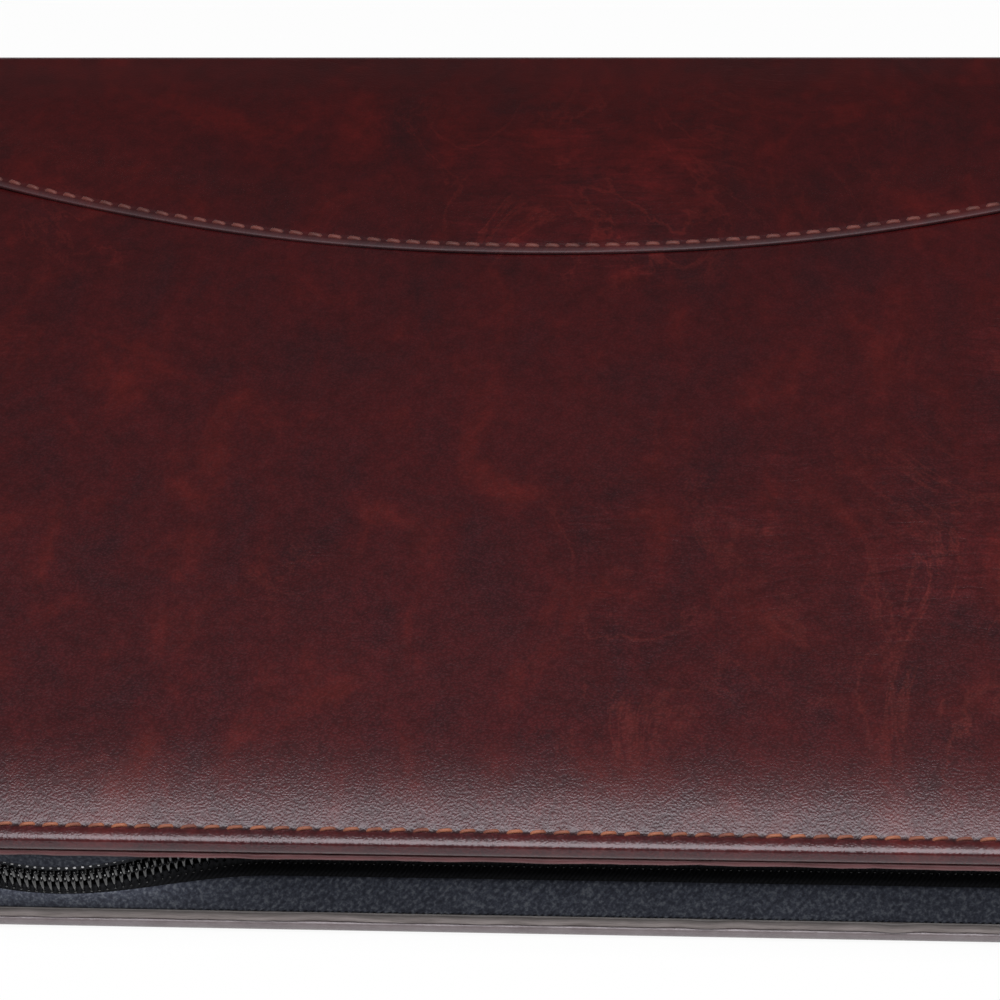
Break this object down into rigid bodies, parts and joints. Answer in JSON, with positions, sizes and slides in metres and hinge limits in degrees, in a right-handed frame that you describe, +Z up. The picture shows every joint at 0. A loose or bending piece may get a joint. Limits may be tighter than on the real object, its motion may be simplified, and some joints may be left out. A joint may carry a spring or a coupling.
{
  "type": "weekly planner",
  "caption": "Zip-round padded leather planner case, closed and lying flat, with a wire-bound weekly book, pockets, pen loop and a ribbon marker inside.",
  "frame": {"origin": "Centre of the underside, on the surface that the closed planner lies on.", "axes": "+X along the spine, +Y from the fore-edge to the spine, +Z up out of the front cover."},
  "size_m": [0.25, 0.195, 0.0247],
  "materials": {
    "leather": "semi-matt mottled burgundy artificial leather",
    "trim_leather": "thinner, darker burgundy artificial leather",
    "thread": "waxed orange-tan stitching thread",
    "seam_thread": "duller red-brown stitching thread",
    "gusset_fabric": "dark navy speckled woven fabric",
    "zip_tape": "black woven zip tape",
    "zip_coil": "black nylon coil",
    "zip_metal": "dark plated zinc",
    "board": "grey board",
    "foam": "soft pale padding",
    "lining": "dark navy woven lining",
    "card": "dark grey cover card",
    "paper": "off-white writing paper",
    "wire": "plated binding wire",
    "satin": "red satin ribbon",
    "elastic": "black woven elastic"
  },
  "bodies": {
    "back_cover": {"back_cover_leather": "leather", "back_yoke_leather": "leather", "back_cover_foam": "foam", "back_cover_board": "board", "back_cover_lining": "lining", "back_cover_trim": "trim_leather", "back_edge_thread": "thread", "lower_gusset": "gusset_fabric", "lower_zip_tape": "zip_tape", "lower_zip_coil": "zip_coil", "lower_zip_stop_right": "zip_metal", "lower_zip_stop_left": "zip_metal", "lower_zip_tab_right": "trim_leather", "lower_zip_tab_left": "trim_leather", "book_pocket": "trim_leather", "book_back_card": "card", "book_pages": "paper", "book_wire": "wire", "ribbon_marker": "satin", "pen_loop": "elastic"},
    "spine": {"spine_leather": "leather", "spine_board": "board", "spine_lining": "lining", "back_crease_leather": "leather", "front_crease_leather": "leather"},
    "front_cover": {"front_cover_leather": "leather", "front_yoke_leather": "leather", "front_cover_foam": "foam", "front_cover_board": "board", "front_cover_lining": "lining", "front_cover_trim": "trim_leather", "front_edge_thread": "thread", "arc_thread": "seam_thread", "upper_gusset": "gusset_fabric", "upper_zip_tape": "zip_tape", "upper_zip_coil": "zip_coil", "upper_zip_stop_right": "zip_metal", "upper_zip_stop_left": "zip_metal", "upper_zip_tab_right": "trim_leather", "upper_zip_tab_left": "trim_leather", "slip_pocket": "trim_leather", "card_pocket_1": "trim_leather", "card_pocket_2": "trim_leather", "card_pocket_3": "trim_leather"},
    "zip_slider": {"zip_slider": "zip_metal"},
    "zip_pull": {"zip_pull": "zip_metal"},
    "book_cover": {"book_front_card": "card"}
  },
  "joints": [
    {"name": "cover_fold", "type": "hinge", "parent": "spine", "child": "front_cover", "pos_m": [0, 0.0955, 0.0196], "axis": [-1, 0, 0], "range_deg": [0, 88], "deforming": ["front_crease_leather"]},
    {"name": "spine_fold", "type": "hinge", "parent": "back_cover", "child": "spine", "pos_m": [0, 0.0955, 0.002], "axis": [-1, 0, 0], "range_deg": [0, 88], "deforming": ["back_crease_leather"]},
    {"name": "book_cover_fold", "type": "hinge", "parent": "back_cover", "child": "book_cover", "pos_m": [0, 0.078, 0.0099], "axis": [-1, 0, 0], "range_deg": [0, 150]},
    {"name": "slider_travel", "type": "slide", "parent": "back_cover", "child": "zip_slider", "axis": [0, -1, 0], "range_m": [0, 0.14]},
    {"name": "pull_swing", "type": "hinge", "parent": "zip_slider", "child": "zip_pull", "pos_m": [0.1198, 0.082, 0.0108], "axis": [0, 0, 1], "range_deg": [0, 150]}
  ],
  "couplings": [
    {"joint": "spine_fold", "follows": "cover_fold", "ratio": 1},
    {"joint": "book_cover_fold", "follows": "cover_fold", "ratio": 1.7}
  ]
}
